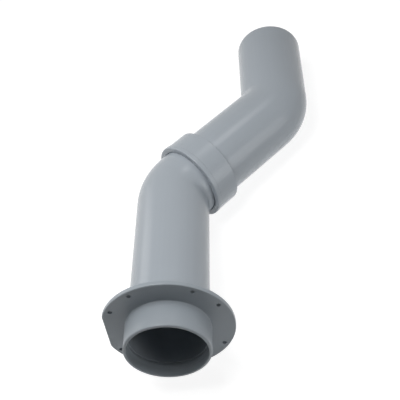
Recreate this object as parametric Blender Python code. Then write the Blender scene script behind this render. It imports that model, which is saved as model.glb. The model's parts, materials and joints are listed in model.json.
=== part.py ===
"""Flue elbow: a flange adaptor and two 45 degree elbows of 80 mm pipe, joined by push-fit sockets.

The lower pipe's axis is +Y, away from the appliance, the flue steps across to +X, and +Z is up
as the elbow lies. The origin is the centre of the flange's lower face, the one that is screwed
to the appliance. Every piece is a closed profile turned about a centre line, and where the
centre line bends, the profile follows it.
"""
import math

import bmesh
import bpy
from mathutils import Matrix, Vector

# ---------------------------------------------------------------- driving dimensions, in metres
PIPE_RADIUS = 0.040
PIPE_WALL = 0.002
FIT = 0.0003                    # clearance between pieces that seat on or slide in each other

LOWER_LEG = 0.166               # flange's lower face to the start of the lower bend
BEND_RADIUS = 0.046             # centre line of both bends
BEND_ANGLE = math.radians(45)
NECK = 0.0055                   # end of the lower bend to the mouth of the socket
DIAGONAL_LEG = 0.098            # end of the socket to the start of the upper bend
TOP_LEG = 0.100                 # end of the upper bend to the open end
SWIVEL = math.radians(6.5)      # how far the upper elbow is turned up in its socket at rest

LIP = 0.003                     # socket wall between the mouth and the seal's groove
GROOVE_WIDTH = 0.012
GROOVE_DEPTH = 0.004
GROOVE_WALL = 0.0017            # socket wall left outside the groove
SLEEVE = 0.014                  # plain bore behind the groove
STOP_WALL = 0.003               # end wall of the socket, which stops the spigot
BEAD = 0.0006                   # height of the thickened band round the mouth
BEAD_WIDTH = 0.0055
MOUTH_CHAMFER = 0.0012

STUB_LENGTH = 0.0285            # spigot that goes into the appliance's outlet
STUB_WALL = 0.0017              # stub wall outside the pipe
RIM_WALL = 0.0028               # stub wall at its open end, where no pipe reaches
FLANGE_WIDTH = 0.023            # flange beyond the stub
FLANGE_THICKNESS = 0.005
FLAT_DEPTH = 0.0043             # how far the flange's flat is cut in from the full circle
FLAT_CORNER = 0.003             # length rounded off where the flat meets the circle
ADAPTOR_RISE = 0.013            # adaptor's socket above the flange
ADAPTOR_DEPTH = 0.032           # mouth of that socket to its stop
STOP_HEIGHT = 0.0019            # how far the stop rib stands in from the socket's bore
STOP_WIDTH = 0.003
FLANGE_TURN = math.radians(4.2)  # how far the flange is turned on the pipe at rest

SCREW_HOLE_RADIUS = 0.00225
SCREW_HOLE_INSET = 0.0058       # hole centre in from the flange's rim
SCREW_HOLE_PITCH = 30           # degrees
QUARTER = 90                    # degrees; the quarter points from the flat have no hole

SPIGOT_CHAMFER = 0.0008         # depth of the lead-in chamfer on a pipe's end
SPIGOT_TAPER = 0.003            # its length along the pipe
SEAL_LIP = 0.0009               # thickness of the seal's lip
SEAL_BAND = 0.0011              # thickness of the seal's outer band
SEAL_HEEL = 0.0028              # length of the seal's solid heel

ROUND_SMALL = 0.0008            # moulded edges
ROUND_LARGE = 0.0015            # fillets at the root of the flange and of a socket

SEGMENTS = 48                   # facets round every turned form
BEND_STEPS = 9                  # facets along a bend
ROUND_STEPS = 3                 # facets along a rounded edge
HOLE_SEGMENTS = 16
SHARP_ANGLE = math.radians(30)

# ---------------------------------------------------------------- sizes that follow
BORE_RADIUS = PIPE_RADIUS + FIT
GROOVE_RADIUS = BORE_RADIUS + GROOVE_DEPTH
SOCKET_RADIUS = GROOVE_RADIUS + GROOVE_WALL
SOCKET_LENGTH = LIP + GROOVE_WIDTH + SLEEVE + STOP_WALL
FLOW_RADIUS = PIPE_RADIUS - PIPE_WALL
STUB_RADIUS = BORE_RADIUS + STUB_WALL
FLANGE_RADIUS = STUB_RADIUS + FLANGE_WIDTH
HOLE_CIRCLE = FLANGE_RADIUS - SCREW_HOLE_INSET
ADAPTOR_MOUTH = FLANGE_THICKNESS + ADAPTOR_RISE
ADAPTOR_STOP = ADAPTOR_MOUTH - ADAPTOR_DEPTH

PLASTIC_GREY = (0.33, 0.36, 0.38)
MOULDED_GREY = (0.32, 0.35, 0.37)
SEAL_BLACK = (0.018, 0.018, 0.020)
PLASTIC_ROUGHNESS = 0.40
RUBBER_ROUGHNESS = 0.60


# ---------------------------------------------------------------- centre line
class CentreLine:
    """A straight run along Z, a bend towards X and a second straight run."""

    def __init__(self, lead, bend_radius=0.0, bend_angle=0.0):
        self.lead = lead
        self.bend_radius = bend_radius
        self.bend_length = bend_radius * bend_angle

    def place(self, distance):
        """Matrix of the cross-section at that distance: its Z runs along the line."""
        straight = min(distance, self.lead)
        turned_length = min(max(distance - self.lead, 0.0), self.bend_length)
        after = max(distance - self.lead - self.bend_length, 0.0)
        angle = turned_length / self.bend_radius if self.bend_length else 0.0
        across = self.bend_radius * (1 - math.cos(angle)) + after * math.sin(angle)
        along = straight + self.bend_radius * math.sin(angle) + after * math.cos(angle)
        return Matrix.Translation((across, 0, along)) @ Matrix.Rotation(angle, 4, "Y")

    def stations(self, start, end):
        """Distances from start to end at which the bend needs a cross-section."""
        if not self.bend_length:
            return []
        marks = [self.lead + self.bend_length * step / BEND_STEPS for step in range(BEND_STEPS + 1)]
        between = [mark for mark in marks if min(start, end) < mark < max(start, end)]
        return sorted(between, reverse=end < start)


# ---------------------------------------------------------------- profiles
def rounded(corners):
    """Closed profile from (distance, radius, rounding) corners, each rounding drawn as an arc."""
    profile = []
    for number, (distance, radius, rounding) in enumerate(corners):
        corner = Vector((distance, radius))
        if not rounding:
            profile.append(tuple(corner))
            continue
        back = (Vector(corners[number - 1][:2]) - corner).normalized()
        onward = (Vector(corners[(number + 1) % len(corners)][:2]) - corner).normalized()
        half = back.angle(onward) / 2
        middle = corner + (back + onward).normalized() * rounding / math.sin(half)
        first = corner + back * rounding / math.tan(half) - middle
        final = corner + onward * rounding / math.tan(half) - middle
        swing = math.atan2(first.cross(final), first.dot(final))
        for step in range(ROUND_STEPS + 1):
            arm = Matrix.Rotation(swing * step / ROUND_STEPS, 2) @ first
            profile.append(tuple(middle + arm))
    return profile


def along_bend(profile, line):
    """The closed profile with points added wherever the bend needs a cross-section."""
    points = []
    for (start, radius), (end, end_radius) in zip(profile, profile[1:] + profile[:1]):
        points.append((start, radius))
        for mark in line.stations(start, end):
            share = (mark - start) / (end - start)
            points.append((mark, radius + share * (end_radius - radius)))
    return points


def socket_bore(mouth, inward):
    """Chamfered mouth, lip and seal groove, as profile corners from the mouth inwards."""
    groove = mouth + inward * LIP
    sleeve = groove + inward * GROOVE_WIDTH
    return [
        (mouth, BORE_RADIUS + MOUTH_CHAMFER, 0),
        (mouth + inward * MOUTH_CHAMFER, BORE_RADIUS, 0),
        (groove, BORE_RADIUS, 0),
        (groove, GROOVE_RADIUS, 0),
        (sleeve, GROOVE_RADIUS, 0),
        (sleeve, BORE_RADIUS, 0),
    ]


def spigot_end(end, outward):
    """Chamfered end of a pipe, as profile corners from its outside to its inside."""
    return [
        (end - outward * SPIGOT_TAPER, PIPE_RADIUS, 0),
        (end, PIPE_RADIUS - SPIGOT_CHAMFER, 0),
        (end, FLOW_RADIUS, 0),
    ]


def plain_elbow_profile(start, end):
    """Elbow with a spigot at each end."""
    return rounded([*reversed(spigot_end(start, -1)), *spigot_end(end, 1)])


def socket_elbow_profile(end):
    """Elbow with a push-fit socket whose mouth is at the line's start, and a spigot at its end."""
    foot = SOCKET_LENGTH
    outside = [
        (0, SOCKET_RADIUS + BEAD, ROUND_SMALL),
        (BEAD_WIDTH, SOCKET_RADIUS + BEAD, 0),
        (BEAD_WIDTH + BEAD, SOCKET_RADIUS, 0),
        (foot, SOCKET_RADIUS, ROUND_SMALL),
        (foot, PIPE_RADIUS, ROUND_LARGE),
    ]
    inside = [
        (foot - STOP_WALL, FLOW_RADIUS, 0),
        (foot - STOP_WALL, BORE_RADIUS, 0),
        *reversed(socket_bore(0, 1)),
    ]
    return rounded([*outside, *spigot_end(end, 1), *inside])


def adaptor_profile():
    """Stub, flange and short socket in one moulding, with the pipe's stop rib inside."""
    stub_bore = STUB_RADIUS - RIM_WALL
    rib_bore = BORE_RADIUS - STOP_HEIGHT
    rib_foot = ADAPTOR_STOP - STOP_WIDTH
    outside = [
        (-STUB_LENGTH, STUB_RADIUS, ROUND_SMALL),
        (0, STUB_RADIUS, ROUND_SMALL),
        (0, FLANGE_RADIUS, 0),
        (FLANGE_THICKNESS, FLANGE_RADIUS, 0),
        (FLANGE_THICKNESS, SOCKET_RADIUS, ROUND_LARGE),
        (ADAPTOR_MOUTH, SOCKET_RADIUS, ROUND_SMALL),
    ]
    inside = [
        *socket_bore(ADAPTOR_MOUTH, -1),
        (ADAPTOR_STOP, BORE_RADIUS, 0),
        (ADAPTOR_STOP, rib_bore, 0),
        (rib_foot, rib_bore, 0),
        (rib_foot - STOP_WIDTH, stub_bore, 0),
        (-STUB_LENGTH, stub_bore, 0),
    ]
    return rounded([*outside, *inside])


def seal_profile(mouth, inward):
    """Outer band, solid heel at the mouth's side and a lip that slants in to wipe the pipe."""
    heel = mouth + inward * (LIP + FIT)
    end = mouth + inward * (LIP + GROOVE_WIDTH - FIT)
    root = heel + inward * SEAL_HEEL
    tip = end - inward * SEAL_BAND
    outside = GROOVE_RADIUS - FIT
    neck = BORE_RADIUS + SEAL_LIP
    return [
        (heel, outside),
        (end, outside),
        (end, outside - SEAL_BAND),
        (root, outside - SEAL_BAND),
        (root, neck + SEAL_LIP),
        (tip, BORE_RADIUS + SEAL_LIP),
        (tip, BORE_RADIUS),
        (root, neck),
        (heel, neck),
    ]


# ---------------------------------------------------------------- objects
def finish_material(name, colour, roughness):
    """A plain Principled material of the piece's own."""
    material = bpy.data.materials.new(f"{name}_finish")
    material.use_nodes = True
    shader = material.node_tree.nodes["Principled BSDF"]
    shader.inputs["Base Color"].default_value = (*colour, 1)
    shader.inputs["Roughness"].default_value = roughness
    shader.inputs["Metallic"].default_value = 0
    return material


def add_object(name, data, place, parent=None):
    """Link an object, or an empty if data is None, placed relative to its parent."""
    added = bpy.data.objects.new(name, data)
    bpy.context.collection.objects.link(added)
    added.parent = parent
    added.matrix_basis = place
    return added


def mesh_from(name, shape):
    """Turn a bmesh into a mesh that is shaded smooth between its sharp edges."""
    bmesh.ops.recalc_face_normals(shape, faces=shape.faces)
    mesh = bpy.data.meshes.new(name)
    shape.to_mesh(mesh)
    shape.free()
    mesh.shade_smooth()
    mesh.set_sharp_from_angle(angle=SHARP_ANGLE)
    return mesh


def turned(profile, line, first_angle=0.0):
    """Turn a closed profile of (distance, radius) points about a centre line."""
    shape = bmesh.new()
    angles = [first_angle + math.tau * step / SEGMENTS for step in range(SEGMENTS)]
    spokes = [Matrix.Rotation(angle, 4, "Z") for angle in angles]
    rings = []
    for distance, radius in along_bend(profile, line):
        place = line.place(distance)
        rings.append([shape.verts.new(place @ spoke @ Vector((radius, 0, 0))) for spoke in spokes])
    for ring, following in zip(rings, rings[1:] + rings[:1]):
        for step in range(SEGMENTS):
            beside = (step + 1) % SEGMENTS
            shape.faces.new((ring[step], ring[beside], following[beside], following[step]))
    return shape


def add_turned(name, profile, line, parent, colour, roughness):
    """Add a turned piece to the joint that carries it."""
    piece = add_object(name, mesh_from(name, turned(profile, line)), Matrix(), parent)
    piece.data.materials.append(finish_material(name, colour, roughness))
    return piece


def cut_flat(shape):
    """Cut the flange's flat across X, and take off the two corners that it leaves."""
    across = Vector((FLANGE_RADIUS - FLAT_DEPTH, 0, 0))
    everything = [*shape.verts, *shape.edges, *shape.faces]
    cut = bmesh.ops.bisect_plane(
        shape, geom=everything, plane_co=across, plane_no=(1, 0, 0), clear_outer=True
    )
    outline = [part for part in cut["geom_cut"] if isinstance(part, bmesh.types.BMEdge)]
    bmesh.ops.contextual_create(shape, geom=outline)
    upright = [edge for edge in outline if edge.calc_length() > FLANGE_THICKNESS * 0.999
               and abs(edge.verts[0].co.y - edge.verts[1].co.y) < FIT]
    bmesh.ops.bevel(
        shape, geom=upright, offset=FLAT_CORNER, segments=ROUND_STEPS, profile=0.5,
        affect="EDGES", clamp_overlap=True,
    )


def drill_screw_holes(piece):
    """Cut the flange's screw holes, which leave the quarter points clear."""
    for angle in range(0, 360, SCREW_HOLE_PITCH):
        if angle % QUARTER == 0:
            continue
        drill = bmesh.new()
        bmesh.ops.create_cone(
            drill, cap_ends=True, segments=HOLE_SEGMENTS,
            radius1=SCREW_HOLE_RADIUS, radius2=SCREW_HOLE_RADIUS, depth=4 * FLANGE_THICKNESS,
        )
        name = f"screw_hole_{angle}"
        place = Matrix.Rotation(math.radians(angle), 4, "Z") @ Matrix.Translation((HOLE_CIRCLE, 0, 0))
        guide = add_object(name, mesh_from(name, drill), place, piece)
        guide.hide_render = True
        guide.display_type = "WIRE"
        hole = piece.modifiers.new(name, "BOOLEAN")
        hole.operation = "DIFFERENCE"
        hole.solver = "EXACT"
        hole.object = guide


def flange_adaptor():
    """The moulding that is screwed to the appliance, with the flat of its flange towards X.

    Its facets start half a facet round, so that each screw hole lies within one of them.
    """
    shape = turned(adaptor_profile(), CentreLine(ADAPTOR_MOUTH), math.pi / SEGMENTS)
    cut_flat(shape)
    along_y = Matrix.Rotation(math.radians(-90), 4, "X")
    flat_aside = Matrix.Rotation(math.pi + FLANGE_TURN, 4, "Z")
    piece = add_object("flange_adaptor", mesh_from("flange_adaptor", shape), along_y @ flat_aside)
    material = finish_material("flange_adaptor", MOULDED_GREY, PLASTIC_ROUGHNESS)
    piece.data.materials.append(material)
    drill_screw_holes(piece)


def model():
    """Build the five pieces where they lie."""
    for old in list(bpy.data.objects):
        bpy.data.objects.remove(old, do_unlink=True)

    flange_adaptor()

    # The lower joint's Z is the lower pipe's axis, and its X is the side the flue steps to.
    lower_joint = add_object("lower_joint", None, Matrix.Rotation(math.radians(-90), 4, "X"))
    lower_line = CentreLine(LOWER_LEG, BEND_RADIUS, BEND_ANGLE)
    add_turned(
        "adaptor_seal", seal_profile(ADAPTOR_MOUTH, -1), CentreLine(ADAPTOR_MOUTH), lower_joint,
        SEAL_BLACK, RUBBER_ROUGHNESS,
    )
    mouth = LOWER_LEG + lower_line.bend_length + NECK
    spigot_tip = mouth + SOCKET_LENGTH - STOP_WALL - FIT
    add_turned(
        "lower_elbow", plain_elbow_profile(ADAPTOR_STOP + FIT, spigot_tip), lower_line, lower_joint,
        PLASTIC_GREY, PLASTIC_ROUGHNESS,
    )

    # The upper joint sits in the socket's mouth, half a turn round so that its line bends back.
    half_turn = Matrix.Rotation(math.pi + SWIVEL, 4, "Z")
    upper_joint = add_object("upper_joint", None, lower_line.place(mouth) @ half_turn, lower_joint)
    upper_line = CentreLine(SOCKET_LENGTH + DIAGONAL_LEG, BEND_RADIUS, BEND_ANGLE)
    add_turned(
        "elbow_seal", seal_profile(0, 1), CentreLine(SOCKET_LENGTH), upper_joint,
        SEAL_BLACK, RUBBER_ROUGHNESS,
    )
    open_end = upper_line.lead + upper_line.bend_length + TOP_LEG
    add_turned(
        "upper_elbow", socket_elbow_profile(open_end), upper_line, upper_joint,
        PLASTIC_GREY, PLASTIC_ROUGHNESS,
    )


model()
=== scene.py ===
# %% [markdown]
# # A swan-neck flue in satin grey plastic
#
# The real object is five pieces. A flange adaptor is screwed to the appliance. A pipe with one
# 45 degree bend pushes into it, and a second elbow, which has a socket, pushes onto that pipe. A
# rubber lip seal sits in each of the two sockets. The imported model has all five as plain faceted
# solids at the right size and place. This lesson makes each one again as a fine mesh in the same
# place, gives it a finish, and lights it on a pale bench.
#
# First the imported model is loaded, and its box is kept.

import json
import math

import bmesh
import bpy
from mathutils import Matrix, Quaternion, Vector
from mathutils.bvhtree import BVHTree


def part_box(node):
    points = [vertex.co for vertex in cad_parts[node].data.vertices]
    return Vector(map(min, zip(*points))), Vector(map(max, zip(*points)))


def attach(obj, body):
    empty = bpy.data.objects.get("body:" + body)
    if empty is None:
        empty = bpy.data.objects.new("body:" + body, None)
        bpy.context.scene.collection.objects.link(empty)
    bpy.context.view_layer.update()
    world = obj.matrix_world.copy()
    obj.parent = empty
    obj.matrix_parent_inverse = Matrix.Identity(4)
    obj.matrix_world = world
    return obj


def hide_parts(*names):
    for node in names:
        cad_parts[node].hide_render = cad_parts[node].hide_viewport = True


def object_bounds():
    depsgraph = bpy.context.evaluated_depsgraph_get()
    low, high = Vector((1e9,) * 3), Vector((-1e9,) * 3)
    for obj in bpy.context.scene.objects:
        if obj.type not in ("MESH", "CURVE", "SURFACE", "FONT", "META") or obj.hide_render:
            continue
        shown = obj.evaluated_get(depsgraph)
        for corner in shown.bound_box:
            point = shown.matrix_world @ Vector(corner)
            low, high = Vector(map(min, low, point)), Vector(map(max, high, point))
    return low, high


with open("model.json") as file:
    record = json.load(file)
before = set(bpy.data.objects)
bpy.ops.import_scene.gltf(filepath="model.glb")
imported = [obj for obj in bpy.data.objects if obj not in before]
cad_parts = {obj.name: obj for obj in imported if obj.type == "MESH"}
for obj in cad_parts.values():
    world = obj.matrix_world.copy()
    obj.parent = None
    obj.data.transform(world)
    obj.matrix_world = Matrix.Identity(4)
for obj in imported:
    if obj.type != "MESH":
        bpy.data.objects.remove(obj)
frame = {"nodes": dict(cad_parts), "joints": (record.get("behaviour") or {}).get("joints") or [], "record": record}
cad_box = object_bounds()
print("plain pieces:", ", ".join(sorted(frame["nodes"])))

# %% [markdown]
# ## Sizes come from the frame
#
# A fine piece has to lie exactly where its plain one lies, so its sizes are measured and not
# guessed. A node's box gives a radius or a length where the piece is square to the axes. For the
# slanting elbow, `reach` tells how far its points go along its own axis. The directions are
# those of the joint that the elbow turns on and of its far rim.

# %% Measure the plain pieces
joints = {joint["name"]: joint for joint in frame["joints"]}
mounts = {mount["name"]: mount for mount in frame["record"]["mounts"]}


def reach(node, point, direction):
    """Least and greatest distance of a node's points from a point, along a direction."""
    vertices = frame["nodes"][node].data.vertices
    distances = [(vertex.co - point).dot(direction) for vertex in vertices]
    return min(distances), max(distances)


adaptor_low, adaptor_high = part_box("flange_adaptor")
pipe_low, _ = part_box("lower_elbow")
_, seal_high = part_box("adaptor_seal")

pipe_radius = -pipe_low.x
pipe_start = pipe_low.y
seal_radius = seal_high.x
flange_radius = adaptor_high.z
adaptor_mouth = adaptor_high.y
stub_end = adaptor_low.y
screw_circle = mounts["flange_seat"]["dims"]["pcd_mm"] / 2000
screw_hole_radius = mounts["flange_seat"]["dims"]["hole_r_mm"] / 1000
print(f"pipe {2000 * pipe_radius:.1f} mm, flange {2000 * flange_radius:.1f} mm across")

# %% [markdown]
# What a box can't tell, such as a wall or a groove, is written here once, in metres. `fit` is
# the clearance between pieces that slide or seat in each other. The bores, grooves and sockets
# are worked out from it, the pipe and the seal, as a toolmaker would. `crisp`, `eased` and `soft`
# are the three radii that small edges are rounded to.

# %% Walls, grooves, bends and edges
fit = 0.0003
pipe_wall = 0.002
bend_radius = 0.046
groove_wall = 0.0017
lip = 0.003
groove_width = 0.012
socket_depth = 0.032
stop_wall = 0.003
diagonal_leg = 0.098

crisp = 0.0002
eased = 0.0003
soft = 0.0004
small_fillet = 0.0008
fillet = 0.0015

bore_radius = pipe_radius + fit
flow_radius = pipe_radius - pipe_wall
groove_radius = seal_radius + fit
socket_radius = groove_radius + groove_wall
stub_radius = bore_radius + groove_wall
print(f"socket {2000 * socket_radius:.1f} mm, stub {2000 * stub_radius:.1f} mm across")

# %% [markdown]
# ## Where the lines run
#
# The lower pipe's line is the Y axis. The diagonal line is the axis that the upper elbow turns
# on, and the top line has the direction of the far rim. Where the first two cross, a bend of the
# known radius joins them: it starts a tangent's length before the crossing. The elbows' places
# are then two matrices, whose Z runs along the line and whose X is the side that it bends to.

# %% Find the bends
lower_line = Vector((0, 1, 0))
diagonal = Vector(joints["upper_swivel"]["axis"]).normalized()
top_line = Vector(mounts["top_rim"]["axis"]).normalized()
seal_middle = Vector(joints["upper_swivel"]["pos_m"])
bend_angle = lower_line.angle(diagonal)
bend_length = bend_radius * bend_angle
tangent = bend_radius * math.tan(bend_angle / 2)


def standing(origin, along, towards):
    """Matrix of a frame at origin whose Z is along, and whose X is on the side of towards."""
    z = along.normalized()
    x = (towards - z * towards.dot(z)).normalized()
    return Matrix.Translation(origin) @ Matrix((x, z.cross(x), z)).transposed().to_4x4()


crossing = seal_middle - diagonal * (seal_middle.x / diagonal.x)
lower_lead = crossing.y - tangent
mouth = seal_middle + diagonal * reach("upper_elbow", seal_middle, diagonal)[0]
mouth_distance = lower_lead + bend_length + (mouth - crossing).length - tangent

lower_place = standing(Vector(), lower_line, Vector((1, 0, 0)))
upper_place = standing(mouth, diagonal, top_line)
upper_lead = socket_depth + diagonal_leg
upper_bend_end = upper_place @ Vector(
    (bend_radius * (1 - math.cos(bend_angle)), 0, upper_lead + bend_radius * math.sin(bend_angle))
)
top_leg = reach("upper_elbow", upper_bend_end, top_line)[1]
print(f"lower leg {1000 * lower_lead:.1f} mm, bends {math.degrees(bend_angle):.1f} degrees,"
      f" top leg {1000 * top_leg:.1f} mm")

# %% [markdown]
# ## A shorthand for nodes
#
# Geometry Nodes and materials are both graphs of nodes, and building one in a script is mostly
# the same three lines again and again. `Nodes` keeps that short: `add` makes a node, sets it and
# joins its inputs, and an input may be a number, a colour, a node or another node's output.

# %% The shorthand
class Nodes:
    """Fills a node graph: each input is given as a value, a node or an output of a node."""

    def __init__(self, graph):
        self.graph = graph

    def join(self, value, socket):
        """Link a node or an output to a socket, or set the socket's own value."""
        if isinstance(value, bpy.types.Node):
            value = next(output for output in value.outputs if output.enabled)
        if isinstance(value, bpy.types.NodeSocket):
            self.graph.links.new(value, socket)
        else:
            socket.default_value = value

    def add(self, kind, inputs=(), **settings):
        """Make a node, set its own settings, and join or set its inputs."""
        node = self.graph.nodes.new(kind)
        for setting, value in settings.items():
            setattr(node, setting, value)
        for socket, value in dict(inputs).items():
            self.join(value, node.inputs[socket])
        return node

    def math(self, operation, *terms):
        """The result of one sum or function."""
        return self.add("ShaderNodeMath", enumerate(terms), operation=operation).outputs[0]


class Tree(Nodes):
    """A Geometry Nodes tree whose sizes are named inputs."""

    def __init__(self, name):
        super().__init__(bpy.data.node_groups.new(name, "GeometryNodeTree"))
        for way in ("INPUT", "OUTPUT"):
            self.graph.interface.new_socket("Shape", in_out=way, socket_type="NodeSocketGeometry")
        self.entry = self.graph.nodes.new("NodeGroupInput")
        self.shape = self.entry.outputs["Shape"]

    def size(self, name, kind="Float"):
        """Add a named input, and give the output that carries it into the tree."""
        self.graph.interface.new_socket(name, in_out="INPUT", socket_type=f"NodeSocket{kind}")
        return self.entry.outputs[name]

    def keep(self, shape, name, value, kind="FLOAT"):
        """Remember a value at each point of a shape while later nodes change the shape."""
        node = self.graph.nodes.new("GeometryNodeCaptureAttribute")
        node.capture_items.new(kind, name)
        self.join(shape, node.inputs["Geometry"])
        self.join(value, node.inputs[name])
        return node.outputs["Geometry"], node.outputs[name]

    def end(self, shape, material):
        """Close the tree with real geometry that has a material."""
        real = self.add("GeometryNodeRealizeInstances", {"Geometry": shape})
        painted = self.add("GeometryNodeSetMaterial", {"Geometry": real, "Material": material})
        self.add("NodeGroupOutput", {"Shape": painted})

    def run(self, source, sizes, edge=0.0):
        """Keep what the tree makes of a source mesh as a plain mesh, its marked edges rounded."""
        carrier = bpy.data.objects.new("carrier", source)
        bpy.context.scene.collection.objects.link(carrier)
        modifier = carrier.modifiers.new("tree", "NODES")
        modifier.node_group = self.graph
        for socket in self.graph.interface.items_tree:
            if socket.in_out == "INPUT" and socket.name in sizes:
                modifier[socket.identifier] = sizes[socket.name]
        if edge:
            bevel = carrier.modifiers.new("edges", "BEVEL")
            bevel.width = edge
            bevel.segments = 4
            bevel.limit_method = "WEIGHT"
        graph = bpy.context.evaluated_depsgraph_get()
        mesh = bpy.data.meshes.new_from_object(
            carrier.evaluated_get(graph), preserve_all_data_layers=True, depsgraph=graph
        )
        carrier.modifiers.clear()
        bpy.data.objects.remove(carrier)
        return mesh


print("the shorthand is ready")

# %% [markdown]
# ## A profile turned about a line that bends
#
# Pipe, socket, stub and seal are one kind of shape: a closed profile, turned round a centre
# line. On the elbows the line is straight, then an arc, then straight again. A curve with a
# bevel would give the pipe but not its wall, grooves and chamfers, so the tree works like this:
#
# 1. The profile's corners are rounded, each by its own radius, and its long runs are divided.
# 2. It is swept round a circle, which only serves to make the faces. Each point remembers its
#    place on the profile and how far round it is.
# 3. From those, each point is put on a straight pipe, and then the part beyond the bend's start
#    is rolled about the bend's centre.
#
# The place on the straight pipe is stored as `unbent`, so that a finish can run along the pipe
# and follow its bends.

# %% The tree for turned pieces
seam_gap = 0.000002


def turned_form():
    """Tree: turn a closed profile, X along the line and Y out from it, about the line."""
    tree = Tree("turned_form")
    material = tree.size("Material", "Material")
    facets = tree.size("Facets", "Int")
    round_steps = tree.size("Rounding Steps", "Int")
    longest_step = tree.size("Longest Step")
    lead = tree.size("Lead")
    radius = tree.size("Bend Radius")
    angle = tree.size("Bend Angle")

    outline = tree.add("GeometryNodeMeshToCurve", {"Mesh": tree.shape})
    rounding = tree.add("GeometryNodeInputNamedAttribute", {"Name": "rounding"}, data_type="FLOAT")
    rounded = tree.add(
        "GeometryNodeFilletCurve", {"Curve": outline, "Count": round_steps, "Radius": rounding},
        mode="POLY",
    )

    place = tree.add("GeometryNodeInputPosition")
    beside = tree.add("GeometryNodeOffsetPointInCurve", {"Offset": 1}).outputs["Point Index"]
    next_place = tree.add(
        "GeometryNodeFieldAtIndex", {"Value": place, "Index": beside}, data_type="FLOAT_VECTOR"
    )
    run = tree.add("ShaderNodeVectorMath", {0: place, 1: next_place}, operation="DISTANCE")
    share = tree.math("DIVIDE", run.outputs["Value"], longest_step)
    divided = tree.add("GeometryNodeSubdivideCurve", {"Curve": rounded, "Cuts": share})

    profile, on_profile = tree.keep(divided, "on_profile", place, "VECTOR")
    circle = tree.add("GeometryNodeCurvePrimitiveCircle", {"Resolution": facets, "Radius": 1.0})
    factor = tree.add("GeometryNodeSplineParameter").outputs["Factor"]
    rail, part_of_turn = tree.keep(circle.outputs["Curve"], "part_of_turn", factor)
    skin = tree.add("GeometryNodeCurveToMesh", {"Curve": rail, "Profile Curve": profile})

    corner = tree.add("ShaderNodeSeparateXYZ", {"Vector": on_profile})
    distance, out = corner.outputs["X"], corner.outputs["Y"]
    turn = tree.math("MULTIPLY", part_of_turn, math.tau)
    across = tree.math("MULTIPLY", out, tree.math("COSINE", turn))
    aside = tree.math("MULTIPLY", out, tree.math("SINE", turn))
    unbent = tree.add("ShaderNodeCombineXYZ", {"X": across, "Y": aside, "Z": distance})

    past_lead = tree.math("MAXIMUM", tree.math("SUBTRACT", distance, lead), 0.0)
    in_bend = tree.math("MINIMUM", past_lead, tree.math("MULTIPLY", radius, angle))
    rolled = tree.math("DIVIDE", in_bend, radius)
    unrolled = tree.math("SUBTRACT", distance, in_bend)
    straight = tree.add("ShaderNodeCombineXYZ", {"X": across, "Y": aside, "Z": unrolled})
    bend_centre = tree.add("ShaderNodeCombineXYZ", {"X": radius, "Z": lead})
    bent = tree.add(
        "ShaderNodeVectorRotate",
        {"Vector": straight, "Center": bend_centre, "Axis": (0, 1, 0), "Angle": rolled},
        rotation_type="AXIS_ANGLE",
    )
    placed = tree.add("GeometryNodeSetPosition", {"Geometry": skin, "Position": bent})
    marked = tree.add(
        "GeometryNodeStoreNamedAttribute", {"Geometry": placed, "Name": "unbent", "Value": unbent},
        data_type="FLOAT_VECTOR", domain="POINT",
    )
    merged = tree.add("GeometryNodeMergeByDistance", {"Geometry": marked, "Distance": seam_gap})
    clean = tree.add("GeometryNodeRemoveAttribute", {"Geometry": merged, "Name": "rounding"})
    tree.end(clean, material)
    return tree


turned = turned_form()
print(f"turned_form has {len(turned.graph.nodes)} nodes")

# %% [markdown]
# A profile is a list of corners: distance along the line, distance out from it, and the radius
# that its edge is rounded to. It becomes a mesh with edges only. After the tree has run, the
# faces are made to point outwards, and the mesh is moved to its place. Flat faces next to
# rounded edges would look pillowy, because a vertex averages its faces' normals, so a Weighted
# Normal modifier lets the large faces decide.

# %% Turn a profile, and finish a mesh as a piece
facets = 144
round_steps = 5
longest_step = 0.0025


def outline_mesh(corners, closed=True):
    """An outline of (distance, out, rounding) corners, with edges only."""
    mesh = bpy.data.meshes.new("outline")
    number = len(corners)
    edges = [(i, (i + 1) % number) for i in range(number if closed else number - 1)]
    mesh.from_pydata([(distance, out, 0) for distance, out, _ in corners], edges, [])
    rounding = mesh.attributes.new("rounding", "FLOAT", "POINT")
    rounding.data.foreach_set("value", [rounding_radius for _, _, rounding_radius in corners])
    return mesh


def turn(corners, material, lead=0.0, angle=0.0, closed=True):
    """Turn a profile about a line with a lead, a bend and a straight end."""
    sizes = {
        "Material": material, "Facets": facets, "Rounding Steps": round_steps,
        "Longest Step": longest_step, "Lead": lead, "Bend Radius": bend_radius, "Bend Angle": angle,
    }
    return turned.run(outline_mesh(corners, closed), sizes)


def open_edges(shape):
    """How many edges of a bmesh lack two faces. A closed mesh has none."""
    return sum(len(edge.link_faces) != 2 for edge in shape.edges)


def finished(name, mesh, place):
    """Move a mesh to its place, point its faces outwards, and make it a smooth shaded piece."""
    mesh.transform(place)
    shape = bmesh.new()
    shape.from_mesh(mesh)
    bmesh.ops.recalc_face_normals(shape, faces=shape.faces)
    gaps = open_edges(shape)
    shape.to_mesh(mesh)
    shape.free()
    mesh.shade_smooth()
    mesh.set_sharp_from_angle(angle=math.radians(30))
    piece = bpy.data.objects.new(name, mesh)
    bpy.context.scene.collection.objects.link(piece)
    weighted = piece.modifiers.new("flat faces stay flat", "WEIGHTED_NORMAL")
    weighted.keep_sharp = True
    print(f"{name}: {len(mesh.polygons)} faces, {gaps} open edges")
    return piece
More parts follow.
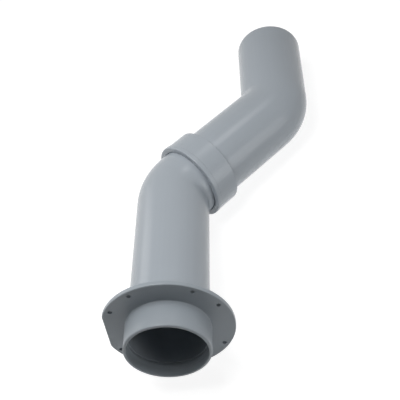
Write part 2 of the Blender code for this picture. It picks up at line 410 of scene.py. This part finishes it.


# %% [markdown]
# ## Finishes
#
# Pipe and fittings of this kind are grey polypropylene with a satin skin. Pipe is drawn through
# a die, which leaves faint lines along it: a noise that is fine across the pipe and stretched
# along it, read from `unbent` so that the lines follow the bends. The moulded adaptor is duller,
# with the even, fine grain of its tool. Its colour is darker than the pipe's. That is partly a tone
# of its own and partly painted shade, which stands for the shade on the flange's front face and
# stub. The seal is matt black rubber.
#
# No plastic wall is quite true or quite even. Soft clouds of noise give both plastics a slight
# change of tone and gloss and a relief of some hundredths of a millimetre, which bends their
# highlights as on real pipe. A bump node's distance states such a relief in metres. The clouds
# change the roughness only a little, because a wide change would look like stains.

# %% The finishes
class Finish(Nodes):
    """A material with one Principled shader, whose pattern is built by adding nodes."""

    def __init__(self, name, ior):
        self.material = bpy.data.materials.new(name)
        self.material.use_nodes = True
        super().__init__(self.material.node_tree)
        self.shader = self.graph.nodes["Principled BSDF"]
        self.shader.inputs["IOR"].default_value = ior
        self.shader.inputs["Specular IOR Level"].default_value = 0.3

    def noise(self, place, scale, detail, stretch=(1, 1, 1)):
        """Soft noise from 0 to 1, with so many waves in a metre."""
        mapping = self.add("ShaderNodeMapping", {"Vector": place, "Scale": stretch})
        return self.add(
            "ShaderNodeTexNoise", {"Vector": mapping, "Scale": scale, "Detail": detail}
        ).outputs["Fac"]

    def roughness(self, share, low, high):
        """Roughness from low to high, by a share from 0 to 1."""
        spread = self.add("ShaderNodeMapRange", {"Value": share, "To Min": low, "To Max": high})
        self.join(spread.outputs["Result"], self.shader.inputs["Roughness"])

    def tone(self, colour, share, change):
        """The colour, made darker and lighter by a share of its brightness."""
        ends = [tuple(c * factor for c in colour) + (1,) for factor in (1 - change, 1 + change)]
        mixed = self.add("ShaderNodeMix", {0: share, 6: ends[0], 7: ends[1]}, data_type="RGBA")
        self.join(mixed.outputs[2], self.shader.inputs["Base Color"])

    def relief(self, *layers):
        """Bump from (height, depth in metres) layers, one on another."""
        below = None
        for height, depth in layers:
            inputs = {"Height": height, "Distance": depth, "Strength": 1.0}
            if below:
                inputs["Normal"] = below
            below = self.add("ShaderNodeBump", inputs).outputs["Normal"]
        self.join(below, self.shader.inputs["Normal"])


def drawn_plastic(name, colour):
    """Satin plastic pipe with faint lines along it."""
    finish = Finish(name, 1.49)
    along = finish.add(
        "ShaderNodeAttribute", attribute_name="unbent", attribute_type="GEOMETRY"
    ).outputs["Vector"]
    clouds = finish.noise(along, scale=22, detail=3)
    lines = finish.noise(along, scale=300, detail=2, stretch=(1, 1, 0.01))
    half_clouds = finish.math("MULTIPLY", clouds, 0.5)
    half_of_each = finish.math("MULTIPLY_ADD", lines, 0.5, half_clouds)
    finish.tone(colour, half_of_each, change=0.03)
    finish.roughness(clouds, low=0.20, high=0.26)
    finish.relief((clouds, 0.00006), (lines, 0.000002))
    return finish.material


def moulded_plastic(name, colour):
    """Satin moulding with the fine grain of its tool."""
    finish = Finish(name, 1.49)
    place = finish.add("ShaderNodeTexCoord").outputs["Object"]
    clouds = finish.noise(place, scale=28, detail=3)
    grain = finish.noise(place, scale=2600, detail=3)
    finish.tone(colour, clouds, change=0.05)
    finish.roughness(grain, low=0.30, high=0.38)
    finish.relief((clouds, 0.00006), (grain, 0.0000008))
    return finish.material


def seal_rubber(name, colour):
    """Matt rubber with a slight bloom."""
    finish = Finish(name, 1.52)
    place = finish.add("ShaderNodeTexCoord").outputs["Object"]
    bloom = finish.noise(place, scale=120, detail=4)
    pores = finish.noise(place, scale=1800, detail=2)
    finish.tone(colour, bloom, change=0.3)
    finish.roughness(bloom, low=0.52, high=0.7)
    finish.relief((pores, 0.000008))
    return finish.material


pipe_plastic = drawn_plastic("pipe_plastic", (0.325, 0.357, 0.39))
# The moulded colour is partly its own tone and partly painted shade for the flange's front face and stub.
fitting_plastic_with_painted_shade = moulded_plastic("moulded_plastic", (0.275, 0.305, 0.333))
rubber = seal_rubber("seal_rubber", (0.018, 0.018, 0.020))
print("finishes:", ", ".join(finish.name for finish in (pipe_plastic, fitting_plastic_with_painted_shade, rubber)))

# %% [markdown]
# ## The lower elbow
#
# A pipe with one bend and two plain ends. Each end has a lead-in chamfer, which keeps it from
# cutting the seal that it is pushed through. The profile is given clockwise from the far end's
# outside, and the tree adds the bend.

# %% Make the lower elbow
lead_in_length = 0.003
lead_in_depth = 0.0008
lead_in_rounding = 0.0012


def spigot(end, outward):
    """Corners of a pipe's chamfered end, from its outside to its inside."""
    return [
        (end - outward * lead_in_length, pipe_radius, lead_in_rounding),
        (end, pipe_radius - lead_in_depth, crisp),
        (end, flow_radius, soft),
    ]


stop_distance = mouth_distance + socket_depth - stop_wall
lower_profile = [*reversed(spigot(pipe_start, -1)), *spigot(stop_distance - fit, 1)]
lower_mesh = turn(lower_profile, pipe_plastic, lower_lead, bend_angle)
lower_elbow = finished("lower_pipe", lower_mesh, lower_place)

# %% [markdown]
# ## The upper elbow
#
# The second elbow has the same bend and far end, but its near end is a moulded socket. From the
# mouth inwards the socket has a small chamfer, a narrow lip, the groove that holds the seal, a
# plain bore that guides the pipe, and the wall where the pipe stops. Outside, a slightly raised
# band stiffens the mouth. Its front edge is rounded more than the rest, as a moulded rim is.

# %% Make the upper elbow
band = 0.0006
band_width = 0.0055
band_rounding = 0.0013
shoulder_rounding = 0.0012
stop_rounding = 0.0005
mouth_chamfer = 0.0006


def socket_bore(at, inward):
    """Corners of a socket's mouth, lip and seal groove, from the mouth inwards."""
    groove = at + inward * lip
    guide = groove + inward * groove_width
    return [
        (at, bore_radius + mouth_chamfer, crisp),
        (at + inward * mouth_chamfer, bore_radius, crisp),
        (groove, bore_radius, eased),
        (groove, groove_radius, soft),
        (guide, groove_radius, soft),
        (guide, bore_radius, eased),
    ]


open_end = upper_lead + bend_length + top_leg
upper_profile = [
    (0, socket_radius + band, band_rounding),
    (band_width, socket_radius + band, soft),
    (band_width + band, socket_radius, soft),
    (socket_depth, socket_radius, shoulder_rounding),
    (socket_depth, pipe_radius, fillet),
    *spigot(open_end, 1),
    (socket_depth - stop_wall, flow_radius, stop_rounding),
    (socket_depth - stop_wall, bore_radius, eased),
    *reversed(socket_bore(0, 1)),
]
upper_mesh = turn(upper_profile, pipe_plastic, upper_lead, bend_angle)
upper_elbow = finished("upper_elbow_with_socket", upper_mesh, upper_place)

# %% [markdown]
# ## The seals
#
# Each seal is a ring with an outer band, a solid heel towards the mouth, and a lip that slants
# inwards and wipes the pipe. The two are the same ring in two grooves, so one function makes both.

# %% Make the seals
heel_length = 0.0028
band_thickness = 0.0011
lip_thickness = 0.0009


def seal_profile(at, inward):
    """Corners of a lip seal in the groove behind a mouth."""
    heel = at + inward * (lip + fit)
    back = at + inward * (lip + groove_width - fit)
    root = heel + inward * heel_length
    tip = back - inward * band_thickness
    outside = groove_radius - fit
    neck = bore_radius + lip_thickness
    return [
        (heel, outside, soft),
        (back, outside, soft),
        (back, outside - band_thickness, eased),
        (root, outside - band_thickness, soft),
        (root, neck + lip_thickness, eased),
        (tip, neck, eased),
        (tip, bore_radius, eased),
        (root, neck, crisp),
        (heel, neck, soft),
    ]


adaptor_seal_mesh = turn(seal_profile(adaptor_mouth, -1), rubber)
adaptor_seal = finished("seal_in_adaptor", adaptor_seal_mesh, lower_place)
elbow_seal_mesh = turn(seal_profile(0, 1), rubber)
elbow_seal = finished("seal_in_socket", elbow_seal_mesh, upper_place)

# %% [markdown]
# ## The flange adaptor
#
# One moulding, but two kinds of shape: a turned body, and a flat screw flange whose outline is a
# circle with one flat side. The body is turned as before, with an open profile that stops where
# the flange begins. The flange is a second tree, because its holes repeat round a circle:
#
# 1. A circle is the outline. Where it passes the flat, a smooth minimum holds it back, which
#    also rounds the two corners.
# 2. Small circles are put on twelve points round a larger one, but not on the quarter points.
# 3. All curves are filled at once, so that the small circles become holes, and the face is
#    extruded to the flange's thickness.
# 4. The rim's edges are marked, which tells the bevel to round those and leave the holes sharp,
#    as a drill does. A rim edge lies farther out than the holes, or along the flat.
#
# Both parts have the same ring of points where they meet, so merging their doubles makes one
# closed moulding.

# %% The tree for the flange
weld_gap = 0.00001
drill_facets = 32


def screw_flange():
    """Tree: a flat flange with screw holes, from its outline to the body's ring of points."""
    tree = Tree("screw_flange")
    material = tree.size("Material", "Material")
    radius = tree.size("Radius")
    flat = tree.size("Flat Distance")
    corner = tree.size("Flat Corner")
    thickness = tree.size("Thickness")
    body = tree.size("Body Radius")
    body_facets = tree.size("Body Facets", "Int")
    places = tree.size("Hole Places", "Int")
    hole_circle = tree.size("Hole Circle")
    hole = tree.size("Hole Radius")

    circle = "GeometryNodeCurvePrimitiveCircle"
    rim = tree.add(circle, {"Resolution": tree.math("MULTIPLY", body_facets, 2), "Radius": radius})
    at = tree.add("ShaderNodeSeparateXYZ", {"Vector": tree.add("GeometryNodeInputPosition")})
    held = tree.math("SMOOTH_MIN", at.outputs["X"], flat, corner)
    held_place = tree.add("ShaderNodeCombineXYZ", {"X": held, "Y": at.outputs["Y"]})
    outline = tree.add(
        "GeometryNodeSetPosition", {"Geometry": rim.outputs["Curve"], "Position": held_place}
    )

    centres = tree.add("GeometryNodeMeshCircle", {"Vertices": places, "Radius": hole_circle})
    quarter = tree.math("DIVIDE", places, 4)
    in_quarter = tree.math("MODULO", tree.add("GeometryNodeInputIndex"), quarter)
    off_quarter = tree.math("GREATER_THAN", in_quarter, 0.5)
    drill = tree.add(circle, {"Resolution": drill_facets, "Radius": hole})
    holes = tree.add(
        "GeometryNodeInstanceOnPoints",
        {"Points": centres, "Selection": off_quarter, "Instance": drill.outputs["Curve"]},
    )
    inner = tree.add(circle, {"Resolution": body_facets, "Radius": body})

    curves = tree.add("GeometryNodeJoinGeometry")
    for curve in (outline, tree.add("GeometryNodeRealizeInstances", {"Geometry": holes}),
                  inner.outputs["Curve"]):
        tree.join(curve, curves.inputs["Geometry"])
    face = tree.add("GeometryNodeFillCurve", {"Curve": curves}, mode="NGONS")
    upwards = tree.add("ShaderNodeCombineXYZ", {"Z": thickness})
    raised = tree.add(
        "GeometryNodeExtrudeMesh", {"Mesh": face, "Offset": upwards, "Individual": False},
        mode="FACES",
    )
    out = tree.add("ShaderNodeVectorMath", {0: held_place}, operation="LENGTH").outputs["Value"]
    by_body = tree.math("LESS_THAN", out, tree.math("MULTIPLY", body, 1.01))
    inner_wall = tree.add(
        "FunctionNodeBooleanMath", {0: raised.outputs["Side"], 1: by_body}, operation="AND"
    )
    walls = tree.add(
        "GeometryNodeDeleteGeometry", {"Geometry": raised.outputs["Mesh"], "Selection": inner_wall},
        domain="FACE",
    )
    underside = tree.add("GeometryNodeFlipFaces", {"Mesh": face})
    both = tree.add("GeometryNodeJoinGeometry")
    for part in (underside, walls):
        tree.join(part, both.inputs["Geometry"])
    plate = tree.add("GeometryNodeMergeByDistance", {"Geometry": both, "Distance": weld_gap})

    fold = tree.add("GeometryNodeInputMeshEdgeAngle").outputs["Unsigned Angle"]
    sharp = tree.math("GREATER_THAN", fold, math.radians(60))
    past_holes = tree.math("ADD", hole_circle, tree.math("MULTIPLY", hole, 2))
    farther_out = tree.math("GREATER_THAN", out, past_holes)
    along_flat = tree.math("GREATER_THAN", held, tree.math("SUBTRACT", flat, hole))
    on_rim = tree.math("MAXIMUM", farther_out, along_flat)
    rim_edge = tree.math("MULTIPLY", sharp, on_rim)
    marked = tree.add(
        "GeometryNodeStoreNamedAttribute",
        {"Geometry": plate, "Name": "bevel_weight_edge", "Value": rim_edge},
        data_type="FLOAT", domain="EDGE",
    )
    tree.end(marked, material)
    return tree


flange = screw_flange()
print(f"screw_flange has {len(flange.graph.nodes)} nodes")

# %% [markdown]
# The body's profile starts on top of the flange and ends under it. On its way it makes the short
# socket, with the same mouth, lip and groove as the elbow's, the rib inside that stops the pipe,
# and the stub that goes into the appliance. The wall is a little thicker below the rib, where no
# pipe has to fit. The flange lies turned by a few degrees on the pipe, with its flat at one side.

# %% Make the adaptor
flange_thickness = 0.005
flat_corner = 0.0015
rim_rounding = 0.001
flange_turn = math.radians(4.2)
adaptor_depth = 0.032
stop_height = 0.0019
stop_width = 0.003
stub_wall = 0.0028
stub_rounding = 0.0015
mouth_rounding = 0.0009
collar_width = 0.0035
hole_places = 12

flat_side = Vector((-math.cos(flange_turn), 0, math.sin(flange_turn)))
flat_distance = reach("flange_adaptor", Vector(), flat_side)[1]
collar = socket_radius + collar_width
stop = adaptor_mouth - adaptor_depth
adaptor_profile = [
    (flange_thickness, collar, 0),
    (flange_thickness, socket_radius, fillet),
    (adaptor_mouth, socket_radius, mouth_rounding),
    *socket_bore(adaptor_mouth, -1),
    (stop, bore_radius, crisp),
    (stop, bore_radius - stop_height, soft),
    (stop - stop_width, bore_radius - stop_height, soft),
    (stop - 2 * stop_width, stub_radius - stub_wall, small_fillet),
    (stub_end, stub_radius - stub_wall, eased),
    (stub_end, stub_radius, stub_rounding),
    (0, stub_radius, small_fillet),
    (0, collar, 0),
]
flange_sizes = {
    "Material": fitting_plastic_with_painted_shade, "Radius": flange_radius, "Flat Distance": flat_distance,
    "Flat Corner": flat_corner, "Thickness": flange_thickness, "Body Radius": collar,
    "Body Facets": facets, "Hole Places": hole_places, "Hole Circle": screw_circle,
    "Hole Radius": screw_hole_radius,
}
body = turn(adaptor_profile, fitting_plastic_with_painted_shade, closed=False)
plate = flange.run(bpy.data.meshes.new("empty"), flange_sizes, edge=rim_rounding)

whole = bmesh.new()
whole.from_mesh(body)
whole.from_mesh(plate)
bmesh.ops.remove_doubles(whole, verts=whole.verts, dist=weld_gap)
whole.to_mesh(body)
whole.free()
flange_adaptor = finished("flange_and_stub", body, standing(Vector(), lower_line, flat_side))

# %% [markdown]
# ## What moves with what
#
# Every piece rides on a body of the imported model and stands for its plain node. A seal stays in
# its groove when a pipe is drawn out, and goes round with the pipe, so each has its own body.

# %% Ride on the bodies
riders = [
    (flange_adaptor, "adaptor", "flange_adaptor", "moulded_plastic"),
    (adaptor_seal, "lower_seal", "adaptor_seal", "seal_rubber"),
    (lower_elbow, "lower", "lower_elbow", "pipe_plastic"),
    (elbow_seal, "upper_seal", "elbow_seal", "seal_rubber"),
    (upper_elbow, "upper", "upper_elbow", "pipe_plastic"),
]
for piece, body_name, node, slot in riders:
    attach(piece, body_name)
    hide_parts(node)
    plain_low, plain_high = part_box(node)
    corners = [piece.matrix_world @ vertex.co for vertex in piece.data.vertices]
    low = Vector(min(corner[axis] for corner in corners) for axis in range(3))
    high = Vector(max(corner[axis] for corner in corners) for axis in range(3))
    apart = max(abs(a - b) for a, b in zip((*low, *high), (*plain_low, *plain_high)))
    print(f"{piece.name} rides on {body_name}, {1000 * apart:.2f} mm from its plain node's box")

# %% [markdown]
# ## The bench
#
# The flue lies on its flange's rim, its socket and its far rim. Those three touch the bench, so
# the bench's plane is a face of the convex hull round the whole object: the one that is straight
# under its centre of mass, which a ray that is cast down from there finds. All walls are about
# equally thick, so the centre of mass is the middle of the surface. The hull is made from the
# plain nodes, which are light, and thrown away.
#
# The bench is white. What the camera sees of it is mostly its own even white, so that the
# background is pale right to the edge of the picture, and partly its real surface, which takes
# the object's shadow. So it takes a way to tell the rays that look at a thing, from the camera
# or off a shiny surface, from those that only carry light. For the latter it is a white board
# that throws light up, and glows a little like a light table, which fills the flue's undersides.

# %% Find the plane that it lies on, and make the bench
hull = bmesh.new()
for node in frame["nodes"].values():
    hull.from_mesh(node.data)
surface = sum(face.calc_area() for face in hull.faces)
centre_of_mass = sum(
    (face.calc_center_median() * face.calc_area() for face in hull.faces), Vector()
) / surface
bmesh.ops.delete(hull, geom=hull.faces[:], context="FACES_ONLY")
bmesh.ops.convex_hull(hull, input=hull.verts)
hull.faces.ensure_lookup_table()
down = Vector((0, 0, -1))
bench_point, _, face_number, _ = BVHTree.FromBMesh(hull).ray_cast(centre_of_mass, down)
rest_face = hull.faces[face_number]
bench_up = -rest_face.normal
contacts = ", ".join(str([round(1000 * c) for c in vertex.co]) for vertex in rest_face.verts)
print("bench up:", [round(c, 3) for c in bench_up], "touches, in mm:", contacts)
hull.free()

bench_gap = 0.0003
bench_size = 6.0
board_tone = 0.8
board_glow = 0.2
seen_white = 0.88
shadow_tone = 0.3
bench_mesh = bpy.data.meshes.new("bench")
side = bench_up.orthogonal().normalized()
other_side = bench_up.cross(side)
middle = bench_point - bench_up * bench_gap
signs = ((-1, -1), (1, -1), (1, 1), (-1, 1))
bench_corners = [middle + bench_size * (a * side + b * other_side) for a, b in signs]
bench_mesh.from_pydata(bench_corners, [], [(0, 1, 2, 3)])
bench = bpy.data.objects.new("bench", bench_mesh)
bpy.context.scene.collection.objects.link(bench)


def looking(graph):
    """1 for rays from the camera or off a shiny surface, 0 for those that only carry light."""
    ray = graph.add("ShaderNodeLightPath").outputs
    bounced = graph.math("MAXIMUM", ray["Is Glossy Ray"], ray["Is Transmission Ray"])
    return graph.math("MAXIMUM", ray["Is Camera Ray"], bounced)


def bench_white(name):
    """White board that the camera sees as an even white with a soft shadow."""
    finish = Finish(name, 1.45)
    board = finish.shader.inputs
    board["Roughness"].default_value = 0.8
    board["Base Color"].default_value = (board_tone, board_tone, board_tone, 1)
    board["Emission Color"].default_value = (1, 1, 1, 1)
    board["Emission Strength"].default_value = board_glow
    even = finish.add("ShaderNodeEmission", {"Color": (1, 1, 1, 1), "Strength": seen_white})
    grey = (shadow_tone, shadow_tone, shadow_tone, 1)
    shadowed = finish.add("ShaderNodeBsdfDiffuse", {"Color": grey})
    seen = finish.add("ShaderNodeAddShader", {0: even, 1: shadowed})
    mixed = finish.add("ShaderNodeMixShader", {"Fac": looking(finish), 1: finish.shader, 2: seen})
    finish.join(mixed, finish.graph.nodes["Material Output"].inputs["Surface"])
    return finish.material


bench_mesh.materials.append(bench_white("bench_white"))

# %% [markdown]
# ## Light
#
# Soft studio light from four panels that face the middle of the flue. The key panel is high and
# close, in front and to the left, so that its light falls off along the flue. A low panel on each
# side shapes the pipes. The streak panel is small, high up and behind: a pipe shows a light as a
# line along it, and this one's reflection is the streak on the diagonal leg.
#
# The surround is white for the rays that look and gives no light of its own. So it shows behind
# the object and in its gloss, but doesn't flatten the shading.

# %% Make the lights
middle_of_flue = (cad_box[0] + cad_box[1]) / 2


def outwards(azimuth, elevation):
    """Direction away from the flue, in degrees: azimuth 0 is in front, 90 to its right."""
    turned_by, raised_by = math.radians(azimuth), math.radians(elevation)
    return Vector((
        math.sin(turned_by) * math.cos(raised_by),
        -math.cos(turned_by) * math.cos(raised_by),
        math.sin(raised_by),
    ))


def panel(name, azimuth, elevation, distance, width, height, watts):
    """A light panel that faces the flue from one direction."""
    back = outwards(azimuth, elevation)
    lamp = bpy.data.lights.new(name, "AREA")
    lamp.shape = "RECTANGLE"
    lamp.size = width
    lamp.size_y = height
    lamp.energy = watts
    light = bpy.data.objects.new(name, lamp)
    light.location = middle_of_flue + back * distance
    light.rotation_mode = "QUATERNION"
    light.rotation_quaternion = (-back).to_track_quat("-Z", "Y")
    bpy.context.scene.collection.objects.link(light)


panel("key_panel", 310, 72, distance=0.75, width=0.4, height=0.4, watts=5.2)
panel("left_panel", 243, 20, distance=1.1, width=0.6, height=0.5, watts=1.65)
panel("right_panel", 65, 8, distance=0.7, width=0.5, height=0.35, watts=1.3)
panel("streak_panel", 136, 60, distance=1.2, width=0.32, height=0.16, watts=0.8)

world = bpy.data.worlds.new("surround")
world.use_nodes = True
bpy.context.scene.world = world
surround = Nodes(world.node_tree)
sky = surround.add("ShaderNodeBackground", {"Color": (1, 1, 1, 1), "Strength": looking(surround)})
surround.join(sky, world.node_tree.nodes["World Output"].inputs["Surface"])
bpy.context.scene.view_settings.view_transform = "Standard"
print("lights:", ", ".join(light.name for light in bpy.data.lights))

# %% [markdown]
# ## The camera
#
# It looks along the flue from in front of and above the stub, held a little tilted, with a
# longer lens than normal, which keeps the near flange from growing out of proportion.

# %% Make the camera
camera_azimuth = 10.62
camera_elevation = 43.14
camera_tilt = -15.01
camera_distance = 0.86414
look_at = Vector((0.03014, 0.17035, 0))

camera_back = outwards(camera_azimuth, camera_elevation)
camera_data = bpy.data.cameras.new("camera")
camera_data.lens = 69.97
camera_data.sensor_width = 36
camera = bpy.data.objects.new("camera", camera_data)
camera.location = look_at + camera_back * camera_distance
camera.rotation_mode = "QUATERNION"
camera.rotation_quaternion = (
    (-camera_back).to_track_quat("-Z", "Y") @ Quaternion((0, 0, 1), math.radians(camera_tilt))
)
bpy.context.scene.collection.objects.link(camera)
bpy.context.scene.camera = camera
print("camera at", [round(c, 3) for c in camera.location])
